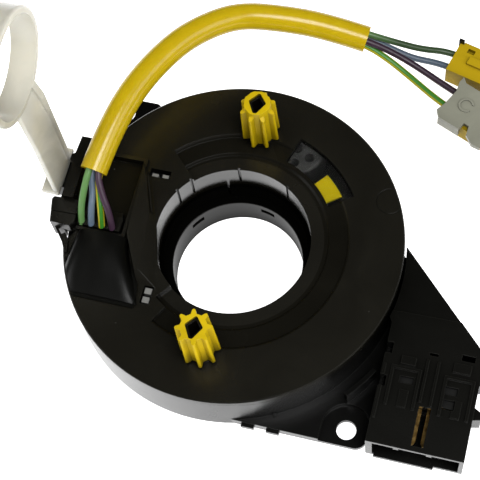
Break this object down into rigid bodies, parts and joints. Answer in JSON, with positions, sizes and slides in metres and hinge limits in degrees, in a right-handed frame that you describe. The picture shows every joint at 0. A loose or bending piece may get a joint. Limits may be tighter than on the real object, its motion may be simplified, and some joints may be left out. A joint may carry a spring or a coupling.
{
  "type": "steering clock spring",
  "caption": "Steering clock spring: fixed drum with ears and a plug socket arm, turning rotor with two star pins, wire pigtail, two plugs and a pull-out transport lock.",
  "frame": {"origin": "on the column axis at the foot of the lower hub collar", "axes": "+Z along the column axis towards the steering wheel, and the mouth of the plug socket faces -Y"},
  "size_m": [0.1499, 0.133, 0.1116],
  "materials": {
    "black_plastic": "satin",
    "brass": "satin",
    "ribbon_film": "satin",
    "yellow_plastic": "satin",
    "yellow_plug": "satin",
    "clear_plastic": "gloss",
    "white_plastic": "satin",
    "milky_plastic": "satin",
    "grey_plastic": "satin",
    "yellow_sleeve": "satin",
    "wire_green": "satin",
    "wire_blue": "satin",
    "wire_yellow": "satin",
    "wire_purple": "satin"
  },
  "bodies": {
    "stator": {"stator_housing": "black_plastic", "arm_cover": "black_plastic", "contact_carrier": "black_plastic", "contact_1": "brass", "contact_2": "brass", "contact_3": "brass", "contact_4": "brass", "contact_5": "brass", "contact_6": "brass", "ribbon_outer": "ribbon_film"},
    "rotor": {"rotor_disc": "black_plastic", "hub_collar": "black_plastic", "star_bush_rear": "yellow_plastic", "star_bush_front": "yellow_plastic", "sight_lens": "clear_plastic", "lead_clip_1": "white_plastic", "lead_clip_2": "white_plastic", "lead_clip_3": "white_plastic", "lead_clip_4": "white_plastic", "wire_block": "black_plastic", "wire_cover": "black_plastic", "inner_plug": "black_plastic", "ribbon_inner": "ribbon_film", "wire_sleeve": "yellow_sleeve", "wire_green": "wire_green", "wire_blue": "wire_blue", "wire_yellow": "wire_yellow", "wire_purple": "wire_purple", "upper_plug": "yellow_plug", "plug_wedge": "black_plastic", "lower_plug": "yellow_plug", "plug_cover": "grey_plastic"},
    "key": {"lock_key": "milky_plastic"},
    "carrier": {"roller_carrier": "black_plastic", "carrier_marker": "yellow_plastic", "ribbon_loop": "ribbon_film"},
    "roller_1_body": {"roller_1": "white_plastic"},
    "roller_2_body": {"roller_2": "white_plastic"},
    "roller_3_body": {"roller_3": "white_plastic"},
    "roller_4_body": {"roller_4": "white_plastic"}
  },
  "joints": [
    {"name": "steering_turn", "type": "hinge", "parent": "stator", "child": "rotor", "pos_m": [0, 0, 0], "axis": [0, 0, 1], "range_deg": [-900, 900]},
    {"name": "carrier_turn", "type": "hinge", "parent": "stator", "child": "carrier", "pos_m": [0, 0, 0], "axis": [0, 0, 1], "range_deg": [-340, 340]},
    {"name": "lock_pull", "type": "slide", "parent": "rotor", "child": "key", "axis": [0, 0, 1], "range_m": [0, 0.014]},
    {"name": "roller_1_spin", "type": "hinge", "parent": "carrier", "child": "roller_1_body", "pos_m": [0.01174, 0.03614, 0], "axis": [0, 0, 1], "range_deg": [-1900, 1900]},
    {"name": "roller_2_spin", "type": "hinge", "parent": "carrier", "child": "roller_2_body", "pos_m": [-0.03614, 0.01174, 0], "axis": [0, 0, 1], "range_deg": [-1900, 1900]},
    {"name": "roller_3_spin", "type": "hinge", "parent": "carrier", "child": "roller_3_body", "pos_m": [-0.01174, -0.03614, 0], "axis": [0, 0, 1], "range_deg": [-1900, 1900]},
    {"name": "roller_4_spin", "type": "hinge", "parent": "carrier", "child": "roller_4_body", "pos_m": [0.03614, -0.01174, 0], "axis": [0, 0, 1], "range_deg": [-1900, 1900]}
  ],
  "couplings": [
    {"joint": "carrier_turn", "follows": "steering_turn", "ratio": 0.371},
    {"joint": "roller_1_spin", "follows": "steering_turn", "ratio": -2},
    {"joint": "roller_2_spin", "follows": "steering_turn", "ratio": -2},
    {"joint": "roller_3_spin", "follows": "steering_turn", "ratio": -2},
    {"joint": "roller_4_spin", "follows": "steering_turn", "ratio": -2}
  ]
}
